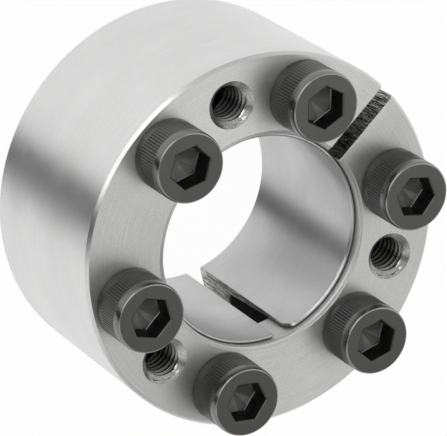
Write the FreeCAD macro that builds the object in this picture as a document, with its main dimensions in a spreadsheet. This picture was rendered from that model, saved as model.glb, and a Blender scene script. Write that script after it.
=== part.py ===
# Shaft locking assembly: a slit flanged outer ring, a slit wedge-shaped inner ring and six clamp
# screws that draw the inner ring towards the flange. Millimetres, Z along the shaft, heads up.
import FreeCAD
import Part
import Sketcher
import math
import os

DOCUMENT = FreeCAD.newDocument("shaft_locking_assembly")
VECTOR = FreeCAD.Vector

# Driving dimensions, in millimetres and degrees
SIZES = [
    ("outer_diameter", 55, "hub bore that the device fills"),
    ("ring_length", 28, "outer ring from rear rim to front face"),
    ("rim_chamfer", 0.45, "outer edges of the outer ring"),
    ("shaft_diameter", 30, "bore of the inner ring"),
    ("pitch_offset", 0.25, "circle of screws outside the middle between bore and outer surface"),
    ("screw_count", 6, "clamp screws, and tapped holes behind them"),
    ("first_angle", 120, "angle of the first screw"),
    ("flange_depth", 7.3, "front flange of the outer ring, which the heads bear on"),
    ("mouth_chamfer", 0.6, "front edge of the flange's bore"),
    ("relief_depth", 0.3, "how far the chamber is cut outside the rear seat"),
    ("seat_overrun", 0.6, "rear seat past the front of the hub"),
    ("cone_angle", 3.5, "half angle of both tapers"),
    ("cone_clearance", 0.2, "gap between the tapers before clamping, square to the axis"),
    ("front_recess", 1.2, "inner ring's tip behind the front face"),
    ("rear_recess", 0.3, "inner ring's rear face inside the rim"),
    ("tip_wall", 0.4, "sleeve wall at its tip"),
    ("tip_break", 0.12, "broken edge of the bore at the tip"),
    ("bore_chamfer", 0.5, "rear edge of the bore"),
    ("hub_depth", 8.4, "thick rear part of the inner ring"),
    ("rim_wall", 1.3, "outer ring round the widest part of the rear seat"),
    ("hub_chamfer", 0.4, "outer edges of the hub"),
    ("root_chamfer", 0.8, "corner between sleeve and hub"),
    ("outer_slit", 2.4, "saw cut through the outer ring"),
    ("inner_slit", 2.4, "saw cut through the inner ring"),
    ("outer_slit_gap", 2, "which gap between screws holds the outer ring's cut, clockwise"),
    ("inner_slit_gap", 4, "which gap holds the inner ring's cut"),
    ("corner_width", 0.9, "corner taken off the sleeve tip beside its cut, along the edge"),
    ("corner_depth", 1.4, "the same corner, along the axis"),
    ("thread_diameter", 6, "clamp screws and jacking holes"),
    ("thread_clearance", 0.05, "round the thread in its tapped hole"),
    ("tap_chamfer", 0.4, "edges of the tapped holes in the hub"),
    ("hole_clearance", 0.3, "round the screw in the flange"),
    ("jack_count", 3, "tapped jacking holes in the flange"),
    ("jack_gap", 1, "which gap between screws holds the first jacking hole"),
    ("jack_chamfer", 0.5, "countersink of the jacking holes"),
    ("screw_length", 25, "below the head"),
    ("screw_tip", 0.7, "chamfer at the screw's tip"),
    ("head_diameter", 10, "screw head"),
    ("head_height", 6.5, "screw head"),
    ("head_round", 0.7, "rounded upper edge of the head"),
    ("head_foot", 0.25, "chamfer under the head"),
    ("socket_width", 5, "hexagon across its flats"),
    ("socket_depth", 3.2, "hexagon below the top of the head"),
    ("socket_mouth", 0.3, "how far the hexagon's mouth is opened on each side"),
    ("mouth_depth", 0.3, "depth of that opening"),
    ("socket_point", 0.9, "drilled point below the hexagon"),
    ("knurl_count", 60, "grooves round the head"),
    ("knurl_depth", 0.2, "depth of a groove"),
    ("knurl_angle", 35, "half angle of a groove"),
    ("knurl_start", 1.7, "foot of the grooves above the seat"),
    ("knurl_length", 2.8, "grooves along the head"),
]
# How far each screw happens to be turned, in degrees, first screw first
SCREW_TURNS = [2, 16, 38, 4, 42, 32]
# A full turn, and the turn from one corner of a hexagon to the next
FULL_TURN = 360
HEXAGON_TURN = 60
# Extra reach that lets a cut run clear of the metal
OVERRUN = 2


class Size:
    """A length or angle that keeps both its number and the sheet formula that drives it."""

    def __init__(self, text, number):
        self.text = text
        self.number = number

    def joined(self, sign, other, number):
        return Size("(%s %s %s)" % (self.text, sign, as_size(other).text), number)

    def __add__(self, other):
        return self.joined("+", other, self.number + as_size(other).number)

    def __sub__(self, other):
        return self.joined("-", other, self.number - as_size(other).number)

    def __mul__(self, other):
        return self.joined("*", other, self.number * as_size(other).number)

    def __truediv__(self, other):
        return self.joined("/", other, self.number / as_size(other).number)


def as_size(value):
    return value if isinstance(value, Size) else Size(str(value), value)


def tangent(angle):
    return Size("tan(%s)" % angle.text, math.tan(math.radians(angle.number)))


def cosine(angle):
    return Size("cos(%s)" % angle.text, math.cos(math.radians(angle.number)))


def sine(angle):
    return Size("sin(%s)" % angle.text, math.sin(math.radians(angle.number)))


def make_sheet():
    sheet = DOCUMENT.addObject("Spreadsheet::Sheet", "Sizes")
    for row, (alias, number, meaning) in enumerate(SIZES, start=1):
        sheet.set("A%d" % row, alias.replace("_", " "))
        sheet.set("B%d" % row, str(number))
        sheet.set("C%d" % row, meaning)
        sheet.setAlias("B%d" % row, alias)
    DOCUMENT.recompute()
    return {alias: Size("Sizes." + alias, number) for alias, number, meaning in SIZES}


def new_body(name):
    body = DOCUMENT.addObject("PartDesign::Body", name)
    body.Label = name
    return body


def new_sketch(body, name, role, turn=None, height=None):
    """A sketch on one of the body's own planes, turned about the shaft's axis or lifted along it."""
    plane = next(part for part in body.Origin.OriginFeatures if part.Role == role)
    sketch = body.newObject("Sketcher::SketchObject", name)
    sketch.AttachmentSupport = [(plane, "")]
    sketch.MapMode = "FlatFace"
    up = VECTOR(0, 0, 1) if role == "XY_Plane" else VECTOR(0, 1, 0)
    start = 0 if turn is None else turn.number
    lift = 0 if height is None else height.number
    sketch.AttachmentOffset = FreeCAD.Placement(VECTOR(0, 0, lift), FreeCAD.Rotation(up, start))
    if turn is not None:
        sketch.setExpression("AttachmentOffset.Rotation.Angle", turn.text)
    if height is not None:
        sketch.setExpression("AttachmentOffset.Base.z", height.text)
    return sketch


def pin_point(sketch, line, end, x, y):
    """Ties a point of the sketch to its two coordinates."""
    for kind, value in (("DistanceX", x), ("DistanceY", y)):
        value = as_size(value)
        index = sketch.addConstraint(Sketcher.Constraint(kind, -1, 1, line, end, value.number))
        sketch.setExpression("Constraints[%d]" % index, value.text)


def draw_outline(sketch, points):
    """A closed outline whose corners are tied to the sheet."""
    corners = [VECTOR(as_size(x).number, as_size(y).number, 0) for x, y in points]
    count = len(corners)
    for index in range(count):
        following = corners[(index + 1) % count]
        sketch.addGeometry(Part.LineSegment(corners[index], following), False)
    for index in range(count):
        sketch.addConstraint(Sketcher.Constraint("Coincident", index, 2, (index + 1) % count, 1))
    for index, (x, y) in enumerate(points):
        pin_point(sketch, index, 1, x, y)


def draw_circle(sketch, x, radius):
    sketch.addGeometry(Part.Circle(VECTOR(x.number, 0, 0), VECTOR(0, 0, 1), radius.number), False)
    pin_point(sketch, 0, 3, x, 0)
    index = sketch.addConstraint(Sketcher.Constraint("Radius", 0, radius.number))
    sketch.setExpression("Constraints[%d]" % index, radius.text)


def revolve(body, name, kind, points, turn=None, axis_x=None):
    """Turns an outline about the body's axis, or about an axis parallel to it."""
    sketch = new_sketch(body, name + "_outline", "XZ_Plane", turn)
    draw_outline(sketch, points)
    feature = body.newObject(kind, name)
    feature.Profile = sketch
    if axis_x is None:
        feature.ReferenceAxis = (sketch, ["V_Axis"])
    else:
        line = Part.LineSegment(VECTOR(axis_x.number, 0, 0), VECTOR(axis_x.number, 1, 0))
        number = sketch.addGeometry(line, True)
        pin_point(sketch, number, 1, axis_x, 0)
        pin_point(sketch, number, 2, axis_x, 1)
        feature.ReferenceAxis = (sketch, ["Axis0"])
    feature.Angle = FULL_TURN
    return feature


def pocket(body, name, sketch, depth=None, reverse=False):
    """Cuts a sketch out of the body: to a depth, or right through both ways."""
    feature = body.newObject("PartDesign::Pocket", name)
    feature.Profile = sketch
    if depth is None:
        feature.Type = "ThroughAll"
        feature.Midplane = True
    else:
        feature.Type = "Length"
        feature.Length = depth.number
        feature.setExpression("Length", depth.text)
    feature.Reversed = reverse
    return feature


def repeat_round(body, name, feature, count):
    pattern = body.newObject("PartDesign::PolarPattern", name)
    pattern.Originals = [feature]
    spindle = next(part for part in body.Origin.OriginFeatures if part.Role == "Z_Axis")
    pattern.Axis = (spindle, [""])
    pattern.Angle = FULL_TURN
    pattern.Occurrences = int(count.number)
    pattern.setExpression("Occurrences", count.text)
    body.Tip = pattern
    return pattern


def saw_cut(body, width, reach, angle):
    """One radial cut through the whole length of a ring."""
    sketch = new_sketch(body, "saw_cut_outline", "XY_Plane", angle)
    half = width / 2
    back = as_size(0) - half
    draw_outline(sketch, [(0, back), (reach, back), (reach, half), (0, half)])
    return pocket(body, "saw_cut", sketch)


def gap_angle(size, gap):
    """Middle of a gap between two screws, counted clockwise from the first screw."""
    return size["first_angle"] - (gap - 0.5) * FULL_TURN / size["screw_count"]


def pitch_radius_of(size):
    """Radius of the circle of screws, between the bore and the outer surface."""
    return (size["shaft_diameter"] + size["outer_diameter"]) / 4 + size["pitch_offset"]


def hub_radius_of(size):
    """Widest radius of the hub, inside the outer ring's rear wall."""
    return size["outer_diameter"] / 2 - size["rim_wall"] - size["cone_clearance"]


def hexagon_points(width):
    """Corners of a hexagon given across its flats."""
    radius = width / cosine(as_size(HEXAGON_TURN / 2)) / 2
    turns = [as_size(turn) for turn in range(0, FULL_TURN, HEXAGON_TURN)]
    return [(radius * cosine(turn), radius * sine(turn)) for turn in turns]


def make_outer_ring(size):
    """One turned piece: a flange at the front, a thin wall round an empty chamber, a taper in each."""
    body = new_body("outer_ring")
    radius = size["outer_diameter"] / 2
    length = size["ring_length"]
    slope = tangent(size["cone_angle"])
    chamfer = size["rim_chamfer"]
    mouth = size["mouth_chamfer"]
    flange_rear = length - size["flange_depth"]
    tip_height = length - size["front_recess"]
    land_at_tip = size["shaft_diameter"] / 2 + size["tip_wall"] + size["cone_clearance"]
    land_front = land_at_tip - (length - mouth - tip_height) * slope
    land_rear = land_at_tip + (tip_height - flange_rear) * slope
    seat_at_hub = hub_radius_of(size) + size["cone_clearance"]
    seat_end = size["rear_recess"] + size["hub_depth"] + size["seat_overrun"]
    seat_rear = seat_at_hub + size["rear_recess"] * slope
    seat_front = seat_at_hub - (seat_end - size["rear_recess"]) * slope
    chamber = seat_front + size["relief_depth"]
    revolve(body, "turned_ring", "PartDesign::Revolution", [
        (radius - chamfer, length),
        (radius, length - chamfer),
        (radius, chamfer),
        (radius - chamfer, 0),
        (seat_rear, 0),
        (seat_front, seat_end),
        (chamber, seat_end),
        (chamber, flange_rear),
        (land_rear, flange_rear),
        (land_front, length - mouth),
        (land_front + mouth, length),
    ])
    pitch_radius = pitch_radius_of(size)
    thread_radius = size["thread_diameter"] / 2
    hole_sketch = new_sketch(body, "clearance_hole_outline", "XY_Plane", size["first_angle"])
    draw_circle(hole_sketch, pitch_radius, thread_radius + size["hole_clearance"])
    hole = pocket(body, "clearance_hole", hole_sketch)
    repeat_round(body, "clearance_holes", hole, size["screw_count"])
    sink = size["jack_chamfer"]
    jack = revolve(body, "jacking_hole", "PartDesign::Groove", [
        (pitch_radius, length + OVERRUN),
        (pitch_radius + thread_radius + sink, length + OVERRUN),
        (pitch_radius + thread_radius + sink, length),
        (pitch_radius + thread_radius, length - sink),
        (pitch_radius + thread_radius, flange_rear + sink),
        (pitch_radius + thread_radius + sink, flange_rear),
        (pitch_radius + thread_radius + sink, flange_rear - OVERRUN),
        (pitch_radius, flange_rear - OVERRUN),
    ], gap_angle(size, size["jack_gap"]), pitch_radius)
    repeat_round(body, "jacking_holes", jack, size["jack_count"])
    saw_cut(body, size["outer_slit"], radius + OVERRUN, gap_angle(size, size["outer_slit_gap"]))
    return body


def make_inner_ring(size):
    """One turned piece: a thin sleeve that tapers to its tip, and a thick tapped hub at the rear."""
    body = new_body("inner_ring")
    bore = size["shaft_diameter"] / 2
    slope = tangent(size["cone_angle"])
    rear = size["rear_recess"]
    hub_front = rear + size["hub_depth"]
    tip = size["ring_length"] - size["front_recess"]
    tip_radius = bore + size["tip_wall"]
    root = size["root_chamfer"]
    root_radius = tip_radius + (tip - hub_front - root) * slope
    hub_radius = hub_radius_of(size)
    hub_front_radius = hub_radius - size["hub_depth"] * slope
    edge = size["hub_chamfer"]
    revolve(body, "turned_ring", "PartDesign::Revolution", [
        (bore + size["bore_chamfer"], rear),
        (hub_radius - edge, rear),
        (hub_radius - edge * slope, rear + edge),
        (hub_front_radius + edge * slope, hub_front - edge),
        (hub_front_radius - edge, hub_front),
        (root_radius + root, hub_front),
        (root_radius, hub_front + root),
        (tip_radius, tip),
        (bore + size["tip_break"], tip),
        (bore, tip - size["tip_break"]),
        (bore, rear + size["bore_chamfer"]),
    ])
    pitch_radius = pitch_radius_of(size)
    thread_radius = size["thread_diameter"] / 2 + size["thread_clearance"]
    sink = size["tap_chamfer"]
    tapped = revolve(body, "tapped_hole", "PartDesign::Groove", [
        (pitch_radius, hub_front + OVERRUN),
        (pitch_radius + thread_radius + sink, hub_front + OVERRUN),
        (pitch_radius + thread_radius + sink, hub_front),
        (pitch_radius + thread_radius, hub_front - sink),
        (pitch_radius + thread_radius, rear + sink),
        (pitch_radius + thread_radius + sink, rear),
        (pitch_radius + thread_radius + sink, rear - OVERRUN),
        (pitch_radius, rear - OVERRUN),
    ], size["first_angle"], pitch_radius)
    repeat_round(body, "tapped_holes", tapped, size["screw_count"])
    cut_angle = gap_angle(size, size["inner_slit_gap"])
    saw_cut(body, size["inner_slit"], hub_radius + OVERRUN, cut_angle)
    corner_sketch = new_sketch(body, "tip_corner_outline", "XZ_Plane", cut_angle + FULL_TURN / 4)
    side = size["inner_slit"] / 2
    draw_outline(corner_sketch, [
        (0, tip - size["corner_depth"]),
        (side, tip - size["corner_depth"]),
        (side + size["corner_width"], tip),
        (side + size["corner_width"], tip + OVERRUN),
        (0, tip + OVERRUN),
    ])
    pocket(body, "tip_corner", corner_sketch, tip_radius + OVERRUN, True)
    return body


def make_screw(size, number):
    """A knurled socket head screw, standing in its flange hole with its head on the front face."""
    body = new_body("clamp_screw_%d" % (number + 1))
    shank = size["thread_diameter"] / 2
    head = size["head_diameter"] / 2
    top = size["head_height"]
    foot = size["head_foot"]
    below = as_size(0) - size["screw_length"]
    blank = revolve(body, "turned_blank", "PartDesign::Revolution", [
        (0, top),
        (0, below),
        (shank - size["screw_tip"], below),
        (shank, below + size["screw_tip"]),
        (shank, 0),
        (head - foot, 0),
        (head, foot),
        (head, top),
    ])
    DOCUMENT.recompute()
    edges = ["Edge%d" % (place + 1) for place, edge in enumerate(blank.Shape.Edges)
             if abs(edge.BoundBox.ZMin - top.number) < 1e-6
             and abs(edge.BoundBox.ZMax - top.number) < 1e-6
             and abs(edge.BoundBox.XMax - head.number) < 1e-3]
    rounding = body.newObject("PartDesign::Fillet", "rounded_edge")
    rounding.Base = (blank, edges)
    rounding.Radius = size["head_round"].number
    rounding.setExpression("Radius", size["head_round"].text)
    groove_sketch = new_sketch(body, "knurl_outline", "XY_Plane", None, size["knurl_start"])
    depth = size["knurl_depth"]
    half = depth * 2 * tangent(size["knurl_angle"])
    draw_outline(groove_sketch, [
        (head - depth, 0),
        (head + depth, as_size(0) - half),
        (head + depth, half),
    ])
    groove = pocket(body, "knurl_groove", groove_sketch, size["knurl_length"], True)
    repeat_round(body, "knurl", groove, size["knurl_count"])
    mouth_width = size["socket_width"] + size["socket_mouth"] * 2
    mouth_sketch = new_sketch(body, "mouth_outline", "XY_Plane", None, top)
    draw_outline(mouth_sketch, hexagon_points(mouth_width))
    mouth = pocket(body, "socket_mouth", mouth_sketch, size["mouth_depth"])
    taper = "atan(%s / %s)" % (size["socket_mouth"].text, size["mouth_depth"].text)
    mouth.setExpression("TaperAngle", "-" + taper)
    socket_sketch = new_sketch(body, "socket_outline", "XY_Plane", None, top)
    draw_outline(socket_sketch, hexagon_points(size["socket_width"]))
    pocket(body, "socket", socket_sketch, size["socket_depth"])
    floor = top - size["socket_depth"]
    revolve(body, "drill_point", "PartDesign::Groove", [
        (0, floor),
        (size["socket_width"] / 2, floor),
        (0, floor - size["socket_point"]),
    ])
    angle = size["first_angle"] - as_size(FULL_TURN) / size["screw_count"] * number
    turned = angle + SCREW_TURNS[number % len(SCREW_TURNS)]
    pitch_radius = pitch_radius_of(size)
    upright = FreeCAD.Rotation(VECTOR(0, 0, 1), turned.number)
    body.Placement = FreeCAD.Placement(VECTOR(0, 0, 0), upright)
    body.setExpression("Placement.Base.x", (pitch_radius * cosine(angle)).text)
    body.setExpression("Placement.Base.y", (pitch_radius * sine(angle)).text)
    body.setExpression("Placement.Base.z", size["ring_length"].text)
    body.setExpression("Placement.Rotation.Angle", turned.text)
    return body


def check_and_export(bodies):
    """Stops on any failed feature, then writes one file for each piece."""
    DOCUMENT.recompute()
    for item in DOCUMENT.Objects:
        if "Invalid" in item.State or "Error" in item.State:
            raise RuntimeError("%s failed: %s" % (item.Name, item.State))
    os.makedirs("parts", exist_ok=True)
    for body in bodies:
        shape = body.Shape
        if shape.isNull() or not shape.isValid() or len(shape.Solids) != 1:
            raise RuntimeError("%s is not one sound solid" % body.Label)
        shape.exportStep("parts/%s.step" % body.Label)
        print("%-14s %9.1f mm3" % (body.Label, shape.Volume))


def build():
    size = make_sheet()
    bodies = [make_outer_ring(size), make_inner_ring(size)]
    for number in range(int(size["screw_count"].number)):
        bodies.append(make_screw(size, number))
    check_and_export(bodies)


build()
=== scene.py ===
# Shaft locking assembly: two slit rings of turned steel drawn together by six black clamp screws.
# Metres in the frame's own place, with sizes written in millimetres.
import math

import bmesh
import bpy
from mathutils import Matrix, Vector


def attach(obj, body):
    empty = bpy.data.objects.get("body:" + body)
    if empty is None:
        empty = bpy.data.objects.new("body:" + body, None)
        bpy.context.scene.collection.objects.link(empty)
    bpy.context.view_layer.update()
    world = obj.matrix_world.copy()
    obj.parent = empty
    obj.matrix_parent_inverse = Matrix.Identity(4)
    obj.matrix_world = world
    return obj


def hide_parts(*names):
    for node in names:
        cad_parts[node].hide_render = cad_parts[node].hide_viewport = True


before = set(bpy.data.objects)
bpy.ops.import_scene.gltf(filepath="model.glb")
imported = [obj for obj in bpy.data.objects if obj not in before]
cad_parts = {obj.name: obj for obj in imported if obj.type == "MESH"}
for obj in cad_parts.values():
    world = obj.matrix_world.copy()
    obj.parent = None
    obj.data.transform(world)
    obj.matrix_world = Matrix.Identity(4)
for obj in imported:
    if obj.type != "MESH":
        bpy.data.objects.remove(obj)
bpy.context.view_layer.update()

# Outer ring: the flange that the heads bear on, with a thin wall behind it round an empty chamber.
# Bar steel turned in one piece, drilled, tapped for three jacking screws and sawn through once, so
# that it can spring open in the hub. Bare metal: fine turning lines, broken edges, rough saw cut.
MM = 0.001
RING_RADIUS = 27.5
RING_LENGTH = 28.0
RIM_CHAMFER = 0.45
FLANGE_REAR = 20.7
# Radius of the flange's bore at its mouth and at its rear
FLANGE_BORE = (15.56, 15.97)
MOUTH_DEPTH = 0.3
# Turning lines round the mouth of the bore, as (distance from the bore, depth below the face)
MOUTH_LINES = ((0.14, 0.14), (0.28, 0.08), (0.34, 0.13), (0.48, 0.05), (0.54, 0.1), (0.66, 0))
FINE_BREAK = 0.015
CHAMBER_RADIUS = 25.95
# The rear taper: its radius at the rear end and at its inner end, and how far it reaches
SEAT_RADII = (26.22, 25.65)
SEAT_END = 9.3
EDGE_BREAK = 0.1
EDGE_STEPS = 3
SLIT_WIDTH = 2.4
OUTER_SLIT_ANGLE = 30
PITCH_RADIUS = 21.5
SCREW_ANGLES = (120, 60, 0, -60, -120, 180)
CLEARANCE_RADIUS = 3.3
JACK_ANGLES = (90, -30, -150)
THREAD_PITCH = 1.0
# Places of the finishes in a ring's list of materials
SAWN, DRILLED, GROUND, TAPPED = 1, 2, 3, 4
# A tapped hole's radius at the root and at the crest of its thread, and at its countersunk mouth,
# which narrows by SINK_SLOPE mm for each mm of depth
JACK_RADII = (3.05, 2.5)
JACK_SINK = 3.45
SINK_SLOPE = 1.4
# Heights between which shade is painted into the threads of the jacking holes, darker further
# down, and the share of the brightness that is left at the lower one
PAINTED_SHADE_HEIGHTS = (24.5, 27.6)
PAINTED_SHADE_SHARE = 0.15
ROUND_COLUMNS = 240
# Distances from the slit, along the ring, of the closer points that come before the even ones
SLIT_COLUMNS = (0, 0.3, 0.6, 0.9, 1.3, 1.8, 2.5)
HOLE_COLUMNS = 72
WELD_METRES = 2e-7
SHORTEST_EDGE_METRES = 1e-7
SHARP_DEGREES = 33
TURNED_LINE_BREAKS = 2.5
# One pitch of thread as (share of the pitch, share of the depth): root, flank, crest, flank
THREAD_FORM = ((0, 0), (0.0625, 0), (0.22, 0.5), (0.375, 1), (0.5, 1), (0.625, 1), (0.78, 0.5),
               (0.9375, 0))


def polar(radius, degrees, height):
    angle = math.radians(degrees)
    return Vector((radius * math.cos(angle), radius * math.sin(angle), height))


def broken_edges(corners, usual_size, steps):
    """Rounds each corner of a closed outline, and gives each point with its outward normal.
    A corner may have a third number, its own size."""
    area = sum(a[0] * b[1] - b[0] * a[1] for a, b in zip(corners, corners[1:] + corners[:1]))
    outline = []
    for index, corner in enumerate(corners):
        here, size = Vector(corner[:2]), corner[2] if len(corner) > 2 else usual_size
        before = (here - Vector(corners[index - 1][:2])).normalized()
        after = (Vector(corners[(index + 1) % len(corners)][:2]) - here).normalized()
        turn = math.atan2(before.x * after.y - before.y * after.x, before.dot(after))
        reach = size * abs(math.tan(turn / 2))
        for step in range(steps + 1):
            share = step / steps
            direction = Matrix.Rotation(turn * share, 2) @ before
            normal = Vector((direction.y, -direction.x)) * (1 if area > 0 else -1)
            inward = 1 if (turn > 0) == (area > 0) else -1
            first = Vector((before.y, -before.x)) * (1 if area > 0 else -1)
            centre = here - before * reach - first * size * inward
            outline.append((centre + normal * size * inward, normal))
    return outline


def ring_columns(half, radius, count):
    """Shares of the way round from one wall of a slit to the other, closer together at the slit."""
    start = math.asin(half / radius)
    near = [mm / radius / (2 * math.pi - 2 * start) for mm in SLIT_COLUMNS]
    middle = [near[-1] + (1 - 2 * near[-1]) * k / count for k in range(1, count)]
    return near + middle + [1 - share for share in reversed(near)]


def fill_flat(mesh, loops, height_sign):
    """Fills a flat face between its outline and the rims of its holes."""
    edges = []
    for loop in loops:
        for a, b in zip(loop, loop[1:] + loop[:1]):
            edges.append(mesh.edges.get((a, b)) or mesh.edges.new((a, b)))
    bmesh.ops.triangle_fill(mesh, edges=edges, use_beauty=True,
                            normal=Vector((0, 0, height_sign)))


def skin(mesh, rows, closed=True, finish=0):
    """Joins neighbouring rows of points with faces, which get this material of the piece."""
    for low, high in zip(rows, rows[1:]):
        ends = list(zip(low, high))
        for (a, b), (c, d) in zip(ends, ends[1:] + (ends[:1] if closed else [])):
            mesh.faces.new((a, c, d, b)).material_index = finish


def slit_ring(mesh, corners, slit_width, flats):
    """Sweeps a ring's section from one wall of its slit to the other, with the slit at angle 0.
    Flats are the sides of the section left open for a drilled face: their rims are given back."""
    outline = broken_edges(corners, EDGE_BREAK, EDGE_STEPS)
    half = slit_width / 2
    columns = []
    shares = ring_columns(half, sum(point.x for point, normal in outline) / len(outline),
                          ROUND_COLUMNS)
    breaks = [math.pi / 2 * step / EDGE_STEPS for step in range(EDGE_STEPS)]
    for side, turns in ((1, breaks), (0, None), (-1, breaks[::-1])):
        for number in range(len(shares) if side == 0 else len(turns)):
            column = []
            for point, normal in outline:
                if side:
                    across = side * (half + EDGE_BREAK * (1 - math.cos(turns[number])))
                    inset = point - normal * EDGE_BREAK * (1 - math.sin(turns[number]))
                    place = (math.sqrt(inset.x ** 2 - across ** 2), across, inset.y)
                else:
                    start = math.asin((half + EDGE_BREAK) / point.x)
                    angle = start + shares[number] * 2 * (math.pi - start)
                    place = (point.x * math.cos(angle), point.x * math.sin(angle), point.y)
                column.append(mesh.verts.new(Vector(place) * MM))
            columns.append(column)
    first, last = EDGE_STEPS, len(columns) - EDGE_STEPS - 1
    per_corner = EDGE_STEPS + 1
    left_open = {side * per_corner + EDGE_STEPS for side in flats}
    count = len(outline)
    for number, (a, b) in enumerate(zip(columns, columns[1:])):
        for row in range(count):
            if row in left_open and first <= number < last:
                continue
            following = (row + 1) % count
            mesh.faces.new((a[row], b[row], b[following], a[following]))
    for wall in (columns[0], columns[-1]):
        mesh.faces.new(wall).material_index = SAWN
    rims = []
    for side in flats:
        row = side * per_corner + EDGE_STEPS
        following = (row + 1) % count
        kept = columns[first:last + 1]
        rims.append([c[row] for c in kept] + [c[following] for c in reversed(kept)])
    return rims


def circle(mesh, centre, radius, height):
    return [mesh.verts.new((centre + polar(radius, 360 * k / HOLE_COLUMNS, height)) * MM)
            for k in range(HOLE_COLUMNS)]


def plain_hole(mesh, centre, radius, top, bottom):
    """A drilled hole with broken edges. Gives back its two rims."""
    rows = []
    for end, sign in ((top, -1), (bottom, 1)):
        turns = [math.pi / 2 * step / EDGE_STEPS for step in range(EDGE_STEPS + 1)]
        part = [circle(mesh, centre, radius + EDGE_BREAK * (1 - math.sin(turn)),
                       end + sign * EDGE_BREAK * (1 - math.cos(turn))) for turn in turns]
        rows.append(part)
    whole = rows[0] + rows[1][::-1]
    skin(mesh, whole, finish=DRILLED)
    return whole[0], whole[-1]


def thread_depth(phase):
    """Share of the thread's depth at a share of its pitch."""
    phase %= 1
    form = THREAD_FORM + ((1, 0),)
    for (a, low), (b, high) in zip(form, form[1:]):
        if phase <= b:
            return low + (high - low) * (phase - a) / (b - a)
    return 0


def thread_rows(mesh, centre, top, bottom, turn, radius_at, finish=0):
    """Rows of points that follow a right-handed thread, cut off flat at its two ends."""
    turns = math.ceil((top - bottom) / THREAD_PITCH) + 1
    rows = []
    for lead in range(-1, turns):
        for share, depth in THREAD_FORM:
            row = []
            for column in range(HOLE_COLUMNS + 1):
                angle = 360 * column / HOLE_COLUMNS
                height = top - THREAD_PITCH * (lead + share - (angle - 360) / 360)
                height = min(top, max(bottom, height))
                phase = (top - height) / THREAD_PITCH + angle / 360
                radius = radius_at(thread_depth(phase), height)
                row.append(mesh.verts.new((centre + polar(radius, angle + turn, height)) * MM))
            rows.append(row)
    skin(mesh, rows, closed=False, finish=finish)
    return rows[0][:-1], rows[-1][:-1]


def tapped_hole(mesh, centre, radii, sink, top, bottom, turn=0, finish=DRILLED):
    """A tapped hole, countersunk at both ends. Gives back its two rims."""
    root, crest = radii

    def radius_at(depth, height):
        cone = sink - SINK_SLOPE * min(top - height, height - bottom)
        return max(root - (root - crest) * depth, cone)

    return thread_rows(mesh, centre, top, bottom, turn, radius_at, finish)


def finish_mesh(mesh, name, materials):
    """Welds what meets, turns the faces outward and makes an object with clean edges."""
    bmesh.ops.remove_doubles(mesh, verts=mesh.verts, dist=WELD_METRES)
    bmesh.ops.dissolve_degenerate(mesh, edges=mesh.edges, dist=SHORTEST_EDGE_METRES)
    bmesh.ops.recalc_face_normals(mesh, faces=mesh.faces)
    data = bpy.data.meshes.new(name)
    mesh.to_mesh(data)
    mesh.free()
    for material in materials:
        data.materials.append(material)
    data.shade_smooth()
    data.set_sharp_from_angle(angle=math.radians(SHARP_DEGREES))
    piece = bpy.data.objects.new(name, data)
    bpy.context.scene.collection.objects.link(piece)
    weighted = piece.modifiers.new("face_weight", "WEIGHTED_NORMAL")
    weighted.keep_sharp = True
    return piece


def from_hex(text):
    """An sRGB hex colour as linear red, green, blue and full cover."""
    levels = [int(text[k:k + 2], 16) / 255 for k in (1, 3, 5)]
    linear = [v / 12.92 if v <= 0.04045 else ((v + 0.055) / 1.055) ** 2.4 for v in levels]
    return (*linear, 1)


def add_node(material, kind, settings=None, **links):
    """Adds a node. Settings go to its own values, and links to its sockets: a number, a colour or
    another node's output."""
    tree = material.node_tree
    node = tree.nodes.new(kind)
    for key, value in (settings or {}).items():
        setattr(node, key, value)
    for key, value in links.items():
        socket = node.inputs[int(key[1:])] if key[1:].isdigit() else \
            node.inputs[key.replace("_", " ")]
        if isinstance(value, bpy.types.NodeSocket):
            tree.links.new(value, socket)
        else:
            socket.default_value = value
    return node


def new_material(name):
    material = bpy.data.materials.new(name)
    material.use_nodes = True
    material.node_tree.nodes.clear()
    return material


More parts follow.
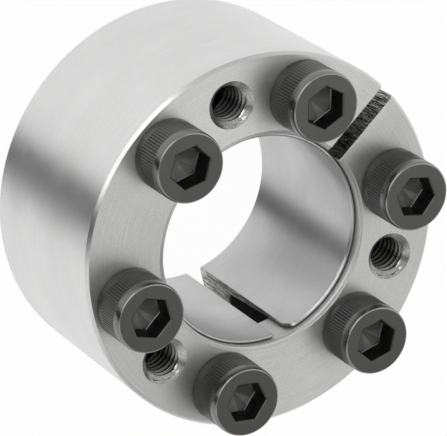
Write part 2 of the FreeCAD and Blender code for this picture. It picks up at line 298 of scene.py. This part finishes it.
def turned_steel(name, colour, dark_colour, roughness, stretch, feed_mm, groove_depth_mm):
    """Bare steel as a lathe leaves it: fine lines round the axis, which draw each highlight out
    across them. The real feed of about 0.1 mm is too fine to show, so the lines are coarser."""
    pore_mm, cloud_mm, roughness_swing = 0.22, 7, 0.04
    material = new_material(name)
    place = add_node(material, "ShaderNodeTexCoord").outputs["Object"]
    parts = add_node(material, "ShaderNodeSeparateXYZ", Vector=place).outputs
    flat = add_node(material, "ShaderNodeCombineXYZ", X=parts["X"], Y=parts["Y"]).outputs[0]
    radius = add_node(material, "ShaderNodeVectorMath", {"operation": "LENGTH"},
                      Vector=flat).outputs["Value"]
    angle = add_node(material, "ShaderNodeMath", {"operation": "ARCTAN2"},
                     _0=parts["Y"], _1=parts["X"]).outputs[0]
    across = add_node(material, "ShaderNodeCombineXYZ", X=radius, Y=parts["Z"]).outputs[0]
    across = add_node(material, "ShaderNodeVectorMath", {"operation": "SCALE"},
                      Vector=across, Scale=1 / (feed_mm * MM)).outputs[0]
    along = add_node(material, "ShaderNodeMath", {"operation": "MULTIPLY"},
                     _0=angle, _1=TURNED_LINE_BREAKS).outputs[0]
    along = add_node(material, "ShaderNodeCombineXYZ", Z=along).outputs[0]
    where = add_node(material, "ShaderNodeVectorMath", {"operation": "ADD"},
                     _0=across, _1=along).outputs[0]
    lines = add_node(material, "ShaderNodeTexNoise", Vector=where, Scale=1.0, Detail=3.0,
                     Roughness=0.6).outputs["Fac"]
    pores = add_node(material, "ShaderNodeTexNoise", Vector=place, Scale=1 / (pore_mm * MM),
                     Detail=2.0).outputs["Fac"]
    cloud = add_node(material, "ShaderNodeTexNoise", Vector=place, Scale=1 / (cloud_mm * MM),
                     Detail=3.0).outputs["Fac"]
    marks = add_node(material, "ShaderNodeMath", {"operation": "ADD"}, _0=lines,
                     _1=pores).outputs[0]
    tone = add_node(material, "ShaderNodeMapRange", Value=marks, From_Min=0.75,
                    From_Max=1.25).outputs[0]
    colour_mix = add_node(material, "ShaderNodeMix", {"data_type": "RGBA"}, Factor=tone,
                          _6=from_hex(dark_colour), _7=from_hex(colour)).outputs[2]
    rough = add_node(material, "ShaderNodeMapRange", Value=cloud, From_Min=0.3, From_Max=0.7,
                     To_Min=roughness - roughness_swing,
                     To_Max=roughness + roughness_swing).outputs[0]
    bump = add_node(material, "ShaderNodeBump", Height=marks, Strength=1.0,
                    Distance=groove_depth_mm * MM).outputs[0]
    round_axis = add_node(material, "ShaderNodeTangent", {"direction_type": "RADIAL",
                                                          "axis": "Z"}).outputs[0]
    steel = add_node(material, "ShaderNodeBsdfPrincipled", Metallic=1.0, Anisotropic=stretch,
                     Anisotropic_Rotation=0.25, Base_Color=colour_mix, Roughness=rough,
                     Normal=bump, Tangent=round_axis)
    add_node(material, "ShaderNodeOutputMaterial", Surface=steel.outputs[0])
    return material


def sawn_steel(name, colour, dark_colour):
    """The wall of a saw cut: coarse marks that the blade's teeth leave along the axis, dull and
    uneven, with the dark of the burrs between them."""
    tooth_mm, speck_mm, depth_mm, squeeze_along_axis = 0.42, 0.3, 0.25, 0.16
    material = new_material(name)
    place = add_node(material, "ShaderNodeTexCoord").outputs["Object"]
    stretch = add_node(material, "ShaderNodeMapping", Vector=place,
                       Scale=(1.0, 1.0, squeeze_along_axis)).outputs[0]
    marks = add_node(material, "ShaderNodeTexNoise", Vector=stretch, Scale=1 / (tooth_mm * MM),
                     Detail=3.0, Roughness=0.6).outputs["Fac"]
    specks = add_node(material, "ShaderNodeTexNoise", Vector=place, Scale=1 / (speck_mm * MM),
                      Detail=2.0).outputs["Fac"]
    height = add_node(material, "ShaderNodeMath", {"operation": "MULTIPLY_ADD"}, _0=specks,
                      _1=0.4, _2=marks).outputs[0]
    tone = add_node(material, "ShaderNodeMapRange", Value=height, From_Min=0.58,
                    From_Max=0.82).outputs[0]
    colour_mix = add_node(material, "ShaderNodeMix", {"data_type": "RGBA"}, Factor=tone,
                          _6=from_hex(dark_colour), _7=from_hex(colour)).outputs[2]
    bump = add_node(material, "ShaderNodeBump", Height=height, Strength=1.0,
                    Distance=depth_mm * MM).outputs[0]
    steel = add_node(material, "ShaderNodeBsdfPrincipled", Metallic=1.0, Roughness=0.42,
                     Base_Color=colour_mix, Normal=bump)
    add_node(material, "ShaderNodeOutputMaterial", Surface=steel.outputs[0])
    return material


def drilled_steel(name, colour, dark_colour, painted_shade_heights=None):
    """A drilled or tapped hole: bright cut metal, torn a little by the tool, with the tears drawn
    coarser than real ones. Shade can be painted into it, darker from one height down to another."""
    tear_mm, depth_mm = 0.25, 0.003
    material = new_material(name)
    place = add_node(material, "ShaderNodeTexCoord").outputs["Object"]
    tears = add_node(material, "ShaderNodeTexNoise", Vector=place, Scale=1 / (tear_mm * MM),
                     Detail=3.0, Roughness=0.6).outputs["Fac"]
    tone = add_node(material, "ShaderNodeMapRange", Value=tears, From_Min=0.35,
                    From_Max=0.65).outputs[0]
    colour_mix = add_node(material, "ShaderNodeMix", {"data_type": "RGBA"}, Factor=tone,
                          _6=from_hex(dark_colour), _7=from_hex(colour)).outputs[2]
    # Painted shade: the colour grows darker from the upper height down to the lower one, deeper in
    # the hole
    if painted_shade_heights:
        height = add_node(material, "ShaderNodeSeparateXYZ", Vector=place).outputs["Z"]
        clean = add_node(material, "ShaderNodeMapRange", Value=height,
                         From_Min=painted_shade_heights[0] * MM, From_Max=painted_shade_heights[1] * MM,
                         To_Min=PAINTED_SHADE_SHARE).outputs[0]
        colour_mix = add_node(material, "ShaderNodeVectorMath", {"operation": "SCALE"},
                              Vector=colour_mix, Scale=clean).outputs[0]
    bump = add_node(material, "ShaderNodeBump", Height=tears, Strength=1.0,
                    Distance=depth_mm * MM).outputs[0]
    steel = add_node(material, "ShaderNodeBsdfPrincipled", Metallic=1.0, Roughness=0.27,
                     Base_Color=colour_mix, Normal=bump)
    add_node(material, "ShaderNodeOutputMaterial", Surface=steel.outputs[0])
    return material


# The flange's face and mouth are turned. The outside is ground finer, with its two rim chamfers.
faced_steel = turned_steel("faced_steel", "#DEDEDC", "#CECECC", 0.44, 0.5, 0.25, 0.0008)
ground_steel = turned_steel("ground_steel", "#E8E8E8", "#DEDEDD", 0.35, 0.75, 0.2, 0.0004)
sawn = sawn_steel("sawn_steel", "#D2D2CE", "#4E4E4C")
drilled = drilled_steel("drilled_steel", "#C8C8C6", "#A4A4A2")
# The tapped jacking holes get painted shade in their threads, darker further down
tapped = drilled_steel("tapped_steel_with_painted_shade", "#D4D4D2", "#B0B0AE", PAINTED_SHADE_HEIGHTS)

outer_mesh = bmesh.new()
land_front, land_rear = FLANGE_BORE
outer_rims = slit_ring(outer_mesh, [
    (RING_RADIUS - RIM_CHAMFER, RING_LENGTH),
    (RING_RADIUS, RING_LENGTH - RIM_CHAMFER),
    (RING_RADIUS, RIM_CHAMFER),
    (RING_RADIUS - RIM_CHAMFER, 0),
    (SEAT_RADII[0], 0),
    (SEAT_RADII[1], SEAT_END),
    (CHAMBER_RADIUS, SEAT_END),
    (CHAMBER_RADIUS, FLANGE_REAR),
    (land_rear, FLANGE_REAR),
    (land_front, RING_LENGTH - MOUTH_DEPTH),
    *[(land_front + away, RING_LENGTH - depth, FINE_BREAK) for away, depth in MOUTH_LINES],
], SLIT_WIDTH, (7, 9 + len(MOUTH_LINES)))
hole_rims = []
for angle in SCREW_ANGLES:
    centre = polar(PITCH_RADIUS, angle - OUTER_SLIT_ANGLE, 0)
    hole_rims.append(plain_hole(outer_mesh, centre, CLEARANCE_RADIUS, RING_LENGTH, FLANGE_REAR))
for angle in JACK_ANGLES:
    centre = polar(PITCH_RADIUS, angle - OUTER_SLIT_ANGLE, 0)
    hole_rims.append(tapped_hole(outer_mesh, centre, JACK_RADII, JACK_SINK, RING_LENGTH,
                                 FLANGE_REAR, finish=TAPPED))
rear_edge, front_edge = outer_rims
fill_flat(outer_mesh, [front_edge] + [top for top, bottom in hole_rims], 1)
fill_flat(outer_mesh, [rear_edge] + [bottom for top, bottom in hole_rims], -1)
bmesh.ops.rotate(outer_mesh, verts=outer_mesh.verts,
                 matrix=Matrix.Rotation(math.radians(OUTER_SLIT_ANGLE), 3, "Z"))
for face in outer_mesh.faces:
    if face.material_index == 0 and \
            face.calc_center_median().xy.length > (RING_RADIUS - RIM_CHAMFER) * MM:
        face.material_index = GROUND
outer_ring = finish_mesh(outer_mesh, "outer_ring_turned",
                         [faced_steel, sawn, drilled, ground_steel, tapped])
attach(outer_ring, "outer_ring")
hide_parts("outer_ring")

# Inner ring: the wedge. A thin sleeve that tapers to its tip, in one piece with the thick hub at
# the rear that the clamp screws are threaded into. Turned steel with a fine bored surface, sawn
# through once midway between two screws, so that it can close on the shaft.
INNER_SLIT_ANGLE = -90
BORE_RADIUS = 15.0
HUB_REAR = 0.3
HUB_FRONT = 8.7
# The sleeve tapers from ROOT_RADIUS at the hub to TIP_RADIUS at its tip
TIP_HEIGHT = 26.8
TIP_RADIUS = 15.43
TIP_EDGE = 0.2
TIP_BREAK = 0.03
ROOT_RADIUS = 16.46
ROOT_CHAMFER = 0.8
# Radius of the hub's own taper at the rear and at the front
HUB_RADII = (26.0, 25.49)
HUB_CHAMFER = 0.4
BORE_CHAMFER = 0.5
# The corner that the saw broke off the tip: its width along the rim and its depth
TIP_CORNER = (0.9, 1.4)
CORNER_BAND = 1
HUB_THREAD_RADII = (3.05, 2.53)
HUB_SINK = 3.45
# How far each screw is turned, in degrees, by which its hexagon is set
SCREW_TURNS = (2, 16, 38, 4, 42, 32)

bored_steel = turned_steel("bored_steel", "#D5D5D5", "#CBCBCB", 0.36, 0.75, 0.3, 0.0004)
inner_mesh = bmesh.new()
hub_low, hub_high = HUB_RADII
inner_rims = slit_ring(inner_mesh, [
    (TIP_RADIUS, TIP_HEIGHT, TIP_BREAK),
    (ROOT_RADIUS, HUB_FRONT + ROOT_CHAMFER),
    (ROOT_RADIUS + ROOT_CHAMFER, HUB_FRONT),
    (hub_high - HUB_CHAMFER, HUB_FRONT),
    (hub_high, HUB_FRONT - HUB_CHAMFER),
    (hub_low, HUB_REAR + HUB_CHAMFER),
    (hub_low - HUB_CHAMFER, HUB_REAR),
    (BORE_RADIUS + BORE_CHAMFER, HUB_REAR),
    (BORE_RADIUS, HUB_REAR + BORE_CHAMFER),
    (BORE_RADIUS, TIP_HEIGHT - TIP_EDGE),
    (BORE_RADIUS + TIP_EDGE, TIP_HEIGHT, TIP_BREAK),
], SLIT_WIDTH, (2, 6))
corner_width, corner_depth = TIP_CORNER
for vert in inner_mesh.verts:
    across = vert.co.y / MM - SLIT_WIDTH / 2
    if vert.co.x > 0 and vert.co.z > (TIP_HEIGHT - CORNER_BAND) * MM and 0 <= across < corner_width:
        vert.co.z -= corner_depth * (1 - across / corner_width) * MM
hole_rims = []
for angle, turn in zip(SCREW_ANGLES, SCREW_TURNS):
    centre = polar(PITCH_RADIUS, angle - INNER_SLIT_ANGLE, 0)
    hole_rims.append(tapped_hole(inner_mesh, centre, HUB_THREAD_RADII, HUB_SINK, HUB_FRONT,
                                 HUB_REAR, angle + turn - INNER_SLIT_ANGLE))
front_edge, rear_edge = inner_rims
fill_flat(inner_mesh, [front_edge] + [top for top, bottom in hole_rims], 1)
fill_flat(inner_mesh, [rear_edge] + [bottom for top, bottom in hole_rims], -1)
bmesh.ops.rotate(inner_mesh, verts=inner_mesh.verts,
                 matrix=Matrix.Rotation(math.radians(INNER_SLIT_ANGLE), 3, "Z"))
inner_ring = finish_mesh(inner_mesh, "inner_ring_turned", [bored_steel, sawn, drilled])
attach(inner_ring, "inner_ring")
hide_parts("inner_ring")

# Clamp screws: six M6 x 25 socket head screws, forged and thread-rolled, with a knurled head and
# a black oxide finish. Each passes through the flange with room to spare and is threaded into
# the hub. The black coat is dark, slightly shiny and worn lighter along the edges. The rounded
# shoulder of the head is smoother, and its lighter colour there is a painted sheen.
HEAD_RADIUS = 5.1
HEAD_HEIGHT = 6.5
# The head's rounded edge: how far it reaches in over the top, and down the side
HEAD_ROUND = 0.25
HEAD_SHOULDER = 0.85
SHOULDER_STEPS = 6
HEAD_FOOT = 0.25
SHANK_LENGTH = 25.0
# Radius at the crest and at the root of the thread, and the heights where it starts and is full
SCREW_THREAD_RADII = (2.98, 2.4)
THREAD_TOP = -1.3
THREAD_FADE = 0.8
SCREW_TIP = 0.7
HEAD_COLUMNS = 360
# The hexagon socket and its mouth, both across flats, the depth of the chamfer between them, and
# a row of points on the top just beyond the mouth
SOCKET_WIDTH = 5.3
MOUTH_WIDTH = 5.65
MOUTH_CHAMFER = 0.2
MOUTH_RIM = 0.2
# The height of the socket's floor, and the width and height of the bright bevel round it
SOCKET_FLOOR = 3.2
FLOOR_BEVEL = (0.1, 0.08)
# The drilled cone under the socket: its depth, and how much smaller it is than the socket
SOCKET_POINT = 1.3
POINT_INSET = 0.03
SOFT_EDGE = 0.05
# Places of the finishes in a screw's list of materials
RUBBED, BARE, SMOOTH = 1, 2, 3
# The knurl: V-shaped grooves, their half width as a share of their spacing, and the heights where
# they start, are full from and to, and end
KNURL_GROOVES = 72
KNURL_DEPTH = 0.14
KNURL_HALF_WIDTH = 0.27
KNURL_BAND = (1.5, 1.7, 4.8, 5.1)


def black_oxide(name, colour, worn_colour, roughness):
    """Black oxide on steel: a dark coat with a soft metallic sheen, a faint grain, drawn coarser
    than the real one, and wear round the rim of the top."""
    grain_mm, depth_mm, patch_mm, wear_mm, roughness_swing = 0.35, 0.01, 3, 0.1, 0.05
    material = new_material(name)
    place = add_node(material, "ShaderNodeTexCoord").outputs["Object"]
    grain = add_node(material, "ShaderNodeTexNoise", Vector=place, Scale=1 / (grain_mm * MM),
                     Detail=3.0, Roughness=0.6).outputs["Fac"]
    patch = add_node(material, "ShaderNodeTexNoise", Vector=place, Scale=1 / (patch_mm * MM),
                     Detail=2.0).outputs["Fac"]
    parts = add_node(material, "ShaderNodeSeparateXYZ", Vector=place).outputs
    flat = add_node(material, "ShaderNodeCombineXYZ", X=parts["X"], Y=parts["Y"]).outputs[0]
    radius = add_node(material, "ShaderNodeVectorMath", {"operation": "LENGTH"},
                      Vector=flat).outputs["Value"]
    # The radius plus twice the height is largest at the rim of the top, where the coat is worn
    reach = add_node(material, "ShaderNodeMath", {"operation": "MULTIPLY_ADD"}, _0=parts["Z"],
                     _1=2.0, _2=radius).outputs[0]
    full_reach = HEAD_RADIUS - HEAD_ROUND + 2 * HEAD_HEIGHT
    rim = add_node(material, "ShaderNodeMapRange", {"interpolation_type": "SMOOTHSTEP"},
                   Value=reach, From_Min=(full_reach - wear_mm) * MM,
                   From_Max=full_reach * MM).outputs[0]
    rubbed = add_node(material, "ShaderNodeMapRange", Value=patch, From_Min=0.35, From_Max=0.65,
                      To_Min=0.3).outputs[0]
    wear = add_node(material, "ShaderNodeMath", {"operation": "MULTIPLY"}, _0=rim,
                    _1=rubbed).outputs[0]
    colour_mix = add_node(material, "ShaderNodeMix", {"data_type": "RGBA"}, Factor=wear,
                          _6=from_hex(colour), _7=from_hex(worn_colour)).outputs[2]
    rough = add_node(material, "ShaderNodeMapRange", Value=patch, From_Min=0.3, From_Max=0.7,
                     To_Min=roughness - roughness_swing,
                     To_Max=roughness + roughness_swing).outputs[0]
    bump = add_node(material, "ShaderNodeBump", Height=grain, Strength=1.0,
                    Distance=depth_mm * MM).outputs[0]
    coat = add_node(material, "ShaderNodeBsdfPrincipled", Metallic=1.0, Base_Color=colour_mix,
                    Roughness=rough, Normal=bump)
    add_node(material, "ShaderNodeOutputMaterial", Surface=coat.outputs[0])
    return material


def hexagon_radius(width, degrees):
    """Distance from the middle of a hexagon to its side, with a corner at angle 0."""
    return width / 2 / math.cos(math.radians(degrees % 60 - 30))


def head_row(mesh, height, radius_at):
    """A row of points round the head, where radius_at gives the radius at an angle."""
    return [mesh.verts.new(polar(radius_at(360 * k / HEAD_COLUMNS), 360 * k / HEAD_COLUMNS,
                                 height) * MM) for k in range(HEAD_COLUMNS)]


def knurl_radius(degrees, depth):
    """The head's radius where V-shaped grooves of this depth run down it."""
    spacing = 360 / KNURL_GROOVES
    off_centre = abs((degrees + spacing / 2) % spacing - spacing / 2)
    return HEAD_RADIUS - depth * max(0, 1 - off_centre / (KNURL_HALF_WIDTH * spacing))


black_steel = black_oxide("black_oxide_steel", "#5C5C5B", "#C4C4C2", 0.36)
rubbed_steel = black_oxide("black_oxide_rubbed_by_the_key", "#686867", "#A8A8A6", 0.4)
bare_edge = black_oxide("bare_edge_of_the_socket", "#80807F", "#80807F", 0.3)
# The head's rounded shoulder: a smoother coat, with a lighter colour as a painted sheen that
# brightens its highlight
smooth_shoulder_painted_sheen = black_oxide("black_oxide_shoulder_with_painted_sheen", "#7A7A79", "#C4C4C2", 0.3)
screw_mesh = bmesh.new()
point = screw_mesh.verts.new(Vector((0, 0, SOCKET_FLOOR - SOCKET_POINT)) * MM)
chamfer_foot = HEAD_HEIGHT - MOUTH_CHAMFER
bevel_width, bevel_height = FLOOR_BEVEL
rows = [head_row(screw_mesh, SOCKET_FLOOR, lambda a: SOCKET_WIDTH / 2 - POINT_INSET)]
for height, width in ((SOCKET_FLOOR, SOCKET_WIDTH - 2 * bevel_width),
                      (SOCKET_FLOOR + bevel_height, SOCKET_WIDTH),
                      (chamfer_foot - SOFT_EDGE, SOCKET_WIDTH),
                      (chamfer_foot + SOFT_EDGE / 2, SOCKET_WIDTH + SOFT_EDGE),
                      (HEAD_HEIGHT - SOFT_EDGE / 2, MOUTH_WIDTH - SOFT_EDGE),
                      (HEAD_HEIGHT, MOUTH_WIDTH + SOFT_EDGE),
                      (HEAD_HEIGHT, MOUTH_WIDTH + MOUTH_RIM)):
    rows.append(head_row(screw_mesh, height, lambda a, w=width: hexagon_radius(w, a)))
rows.append(head_row(screw_mesh, HEAD_HEIGHT, lambda a: HEAD_RADIUS - HEAD_ROUND - SOFT_EDGE))
shoulder_start = len(rows)
for step in range(SHOULDER_STEPS + 1):
    turn = math.pi / 2 * step / SHOULDER_STEPS
    radius = HEAD_RADIUS - HEAD_ROUND * (1 - math.sin(turn))
    height = HEAD_HEIGHT - HEAD_SHOULDER * (1 - math.cos(turn))
    rows.append(head_row(screw_mesh, height, lambda a, r=radius: r))
shoulder_end = len(rows)
low_end, low_full, high_full, high_end = KNURL_BAND
for height, depth in ((high_end, 0), (high_full, KNURL_DEPTH), (low_full, KNURL_DEPTH),
                      (low_end, 0), (HEAD_FOOT, 0)):
    rows.append(head_row(screw_mesh, height, lambda a, d=depth: knurl_radius(a, d)))
rows.append(head_row(screw_mesh, 0, lambda a: HEAD_RADIUS - HEAD_FOOT))
skin(screw_mesh, rows[:2], finish=RUBBED)
skin(screw_mesh, rows[1:3], finish=BARE)
skin(screw_mesh, rows[2:shoulder_start + 1])
# The shoulder rows get the smoother coat with the painted sheen
skin(screw_mesh, rows[shoulder_start:shoulder_end + 1], finish=SMOOTH)
skin(screw_mesh, rows[shoulder_end:])
for a, b in zip(rows[0], rows[0][1:] + rows[0][:1]):
    screw_mesh.faces.new((point, a, b)).material_index = RUBBED


def shank_radius(depth, height):
    """The shank's radius: plain at the top, then threaded, and chamfered at the tip."""
    crest, root = SCREW_THREAD_RADII
    fade = min(1, max(0, (THREAD_TOP - height) / THREAD_FADE))
    tip = crest - SCREW_TIP + (height + SHANK_LENGTH)
    return min(crest - (crest - root) * depth * fade, tip)


axis, shank = Vector((0, 0, 0)), SCREW_THREAD_RADII[0]
thread_rows(screw_mesh, axis, THREAD_TOP, -SHANK_LENGTH, 0, shank_radius)
collar = circle(screw_mesh, axis, shank, 0)
skin(screw_mesh, [collar, circle(screw_mesh, axis, shank, THREAD_TOP)])
head_points_each = HEAD_COLUMNS // HOLE_COLUMNS
for k in range(HOLE_COLUMNS):
    outer = [rows[-1][(k * head_points_each + step) % HEAD_COLUMNS]
             for step in range(head_points_each + 1)]
    screw_mesh.faces.new(outer + [collar[(k + 1) % HOLE_COLUMNS], collar[k]])
screw_mesh.faces.new(circle(screw_mesh, axis, shank - SCREW_TIP, -SHANK_LENGTH))
first_screw = finish_mesh(screw_mesh, "clamp_screw_black_1",
                          [black_steel, rubbed_steel, bare_edge, smooth_shoulder_painted_sheen])
screws = [first_screw]
for number in range(2, len(SCREW_ANGLES) + 1):
    screw = first_screw.copy()
    screw.data = first_screw.data.copy()
    screw.name = "clamp_screw_black_%d" % number
    bpy.context.scene.collection.objects.link(screw)
    screws.append(screw)
for number, (screw, angle, turn) in enumerate(zip(screws, SCREW_ANGLES, SCREW_TURNS), start=1):
    screw.location = polar(PITCH_RADIUS, angle, RING_LENGTH) * MM
    screw.data.transform(Matrix.Rotation(math.radians(angle + turn), 4, "Z"))
    node = "clamp_screw_%d" % number
    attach(screw, node)
    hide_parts(node)

# Floor: a plain pale table for the ring to stand on. To the camera it is nearly white, and it
# keeps the ring's shadow. The metal doesn't reflect it, but the white room below instead.
FLOOR_HALF_METRES = 3.0
FLOOR_DROP_METRES = 0.00002
FLOOR_GLOW = 0.97


def stage_piece(mesh, name, material, height):
    """Makes an object of a flat mesh of the stage, at a height in metres."""
    data = bpy.data.meshes.new(name)
    mesh.to_mesh(data)
    mesh.free()
    data.materials.append(material)
    piece = bpy.data.objects.new(name, data)
    piece.location.z = height
    bpy.context.scene.collection.objects.link(piece)
    return piece


floor_paint = new_material("white_table")
floor_rays = add_node(floor_paint, "ShaderNodeLightPath").outputs
seen = add_node(floor_paint, "ShaderNodeMath", {"operation": "MAXIMUM"},
                _0=floor_rays["Is Camera Ray"],
                _1=floor_rays["Is Transmission Ray"]).outputs[0]
share_of_glow = add_node(floor_paint, "ShaderNodeMath", {"operation": "MULTIPLY"},
                         _0=seen, _1=FLOOR_GLOW).outputs[0]
matt = add_node(floor_paint, "ShaderNodeBsdfDiffuse", Color=from_hex("#F4F4F4")).outputs[0]
glow = add_node(floor_paint, "ShaderNodeEmission", Color=(1, 1, 1, 1), Strength=1.0).outputs[0]
mixed = add_node(floor_paint, "ShaderNodeMixShader", _0=share_of_glow, _1=matt, _2=glow).outputs[0]
add_node(floor_paint, "ShaderNodeOutputMaterial", Surface=mixed)
floor_mesh = bmesh.new()
bmesh.ops.create_grid(floor_mesh, x_segments=2, y_segments=2, size=FLOOR_HALF_METRES)
floor = stage_piece(floor_mesh, "table_top", floor_paint, -FLOOR_DROP_METRES)
floor.visible_glossy = False

# Light: one long soft box overhead, another at the side, and a white room round them, which has
# one dark gap between its walls, and is paler below than above.
# The light level changes across the room: a direction, and the levels from its far end to itself
ROOM_WAY = (-0.900, -0.214, 0.381)
ROOM_LEVELS = ((0, 0.72), (0.12, 0.68), (0.28, 0.5), (0.45, 0.62), (0.53, 0.62), (0.63, 0.46),
               (0.72, 0.28), (0.84, 0.3), (0.95, 0.75), (1, 0.9))
# The dark gap between the room's white walls: its direction, its half width from where it is
# darkest to where it ends, and its light level
GAP_AZIMUTH = 167
GAP_HALF = (10, 15)
GAP_LEVEL = 0.03
HORIZON_BLUR = 0.02

world = bpy.data.worlds.new("studio_room")
bpy.context.scene.world = world
world.use_nodes = True
world.node_tree.nodes.clear()
world_rays = add_node(world, "ShaderNodeLightPath").outputs
looking = add_node(world, "ShaderNodeTexCoord").outputs["Generated"]
along_room = add_node(world, "ShaderNodeVectorMath", {"operation": "DOT_PRODUCT"}, _0=looking,
                      _1=ROOM_WAY).outputs["Value"]
along_room = add_node(world, "ShaderNodeMapRange", Value=along_room, From_Min=-1.0).outputs[0]
ramp_node = add_node(world, "ShaderNodeValToRGB", Fac=along_room)
ramp = ramp_node.color_ramp
while len(ramp.elements) < len(ROOM_LEVELS):
    ramp.elements.new(0.5)
for stop, (position, level) in zip(ramp.elements, ROOM_LEVELS):
    stop.position = position
    stop.color = (level, level, level, 1)
upward = add_node(world, "ShaderNodeSeparateXYZ", Vector=looking).outputs["Z"]
below = add_node(world, "ShaderNodeMapRange", Value=upward, From_Min=HORIZON_BLUR,
                 From_Max=-HORIZON_BLUR).outputs[0]
room_level = add_node(world, "ShaderNodeMix", {"data_type": "RGBA"}, Factor=below,
                      _6=ramp_node.outputs["Color"], _7=(FLOOR_GLOW,) * 3 + (1,)).outputs[2]
gap_way = polar(1, GAP_AZIMUTH, 0)
ahead = add_node(world, "ShaderNodeVectorMath", {"operation": "DOT_PRODUCT"}, _0=looking,
                 _1=gap_way).outputs["Value"]
aside = add_node(world, "ShaderNodeVectorMath", {"operation": "DOT_PRODUCT"}, _0=looking,
                 _1=(-gap_way.y, gap_way.x, 0)).outputs["Value"]
off_gap = add_node(world, "ShaderNodeMath", {"operation": "ARCTAN2"}, _0=aside,
                   _1=ahead).outputs[0]
off_gap = add_node(world, "ShaderNodeMath", {"operation": "ABSOLUTE"}, _0=off_gap).outputs[0]
lit = add_node(world, "ShaderNodeMapRange", {"interpolation_type": "SMOOTHSTEP"}, Value=off_gap,
               From_Min=math.radians(GAP_HALF[0]), From_Max=math.radians(GAP_HALF[1]),
               To_Min=GAP_LEVEL).outputs[0]
room_level = add_node(world, "ShaderNodeMath", {"operation": "MULTIPLY"}, _0=room_level,
                      _1=lit).outputs[0]
room_level = add_node(world, "ShaderNodeMath", {"operation": "MAXIMUM"}, _0=room_level,
                      _1=world_rays["Is Camera Ray"]).outputs[0]
room = add_node(world, "ShaderNodeBackground", Color=(1, 1, 1, 1), Strength=room_level)
add_node(world, "ShaderNodeOutputWorld", Surface=room.outputs[0])


def soft_box(name, azimuth, elevation, distance, size, power):
    """A rectangular lamp that looks at the ring from a direction in degrees. The rest is in metres
    and watts."""
    lamp = bpy.data.lights.new(name, "AREA")
    lamp.shape = "RECTANGLE"
    lamp.size, lamp.size_y = size
    lamp.energy = power
    holder = bpy.data.objects.new(name, lamp)
    away = polar(math.cos(math.radians(elevation)), azimuth, math.sin(math.radians(elevation)))
    holder.location = away * distance
    holder.rotation_mode = "QUATERNION"
    holder.rotation_quaternion = away.to_track_quat("Z", "Y")
    bpy.context.scene.collection.objects.link(holder)


soft_box("overhead_box", -20, 70, 0.9, (0.5, 1.2), 1.3)
soft_box("side_box", 124, 35, 0.9, (0.9, 0.4), 2.1)

# Painted shadow: a grey card under the bore stands in for the ring's shadow on the floor there,
# which the bore reflects as a soft grey patch. It is hidden from the camera, and casts no shadow.
CARD_CORNERS = ((4.3, -5), (3.4, -1.2), (0.5, 2.6), (-3, 2.5), (-3.5, -4.5), (0, -6))
CARD_DROP_METRES = 0.00001

painted_shadow_card = new_material("painted_shadow_card")
card_paint = add_node(painted_shadow_card, "ShaderNodeBsdfDiffuse", Color=from_hex("#8E8E8E"))
add_node(painted_shadow_card, "ShaderNodeOutputMaterial", Surface=card_paint.outputs[0])
card_mesh = bmesh.new()
card_mesh.faces.new([card_mesh.verts.new(Vector((*corner, 0)) * MM) for corner in CARD_CORNERS])
under_card = stage_piece(card_mesh, "painted_shadow_card_under_the_bore", painted_shadow_card, -CARD_DROP_METRES)
under_card.visible_camera = False
under_card.visible_diffuse = False
under_card.visible_shadow = False

# Camera: the photo's own view, from a pinhole camera fitted to it. Its picture is turned, so that
# the ring's axis points to the lower right.
LENS_MM = 269.97
SENSOR_MM = 36.0
CAMERA_SHIFT = (-0.00551, 0.00138)
CLIP_METRES = (0.01, 20)
CAMERA_PLACE = Vector((-166.53, 215.70, 406.45)) * MM
CAMERA_RIGHT = Vector((0.853466, -0.205448, 0.478943))
CAMERA_DOWN = Vector((-0.385858, -0.866841, 0.315752))
CAMERA_AHEAD = Vector((0.350297, -0.454287, -0.819094))

camera_data = bpy.data.cameras.new("photo_camera")
camera_data.lens = LENS_MM
camera_data.sensor_width = SENSOR_MM
camera_data.sensor_fit = "HORIZONTAL"
camera_data.shift_x, camera_data.shift_y = CAMERA_SHIFT
camera_data.clip_start, camera_data.clip_end = CLIP_METRES
camera = bpy.data.objects.new("photo_camera", camera_data)
facing = Matrix((CAMERA_RIGHT, -CAMERA_DOWN, -CAMERA_AHEAD)).transposed()
camera.matrix_world = Matrix.Translation(CAMERA_PLACE) @ facing.to_4x4()
bpy.context.scene.collection.objects.link(camera)
bpy.context.scene.camera = camera
bpy.context.scene.view_settings.view_transform = "Standard"
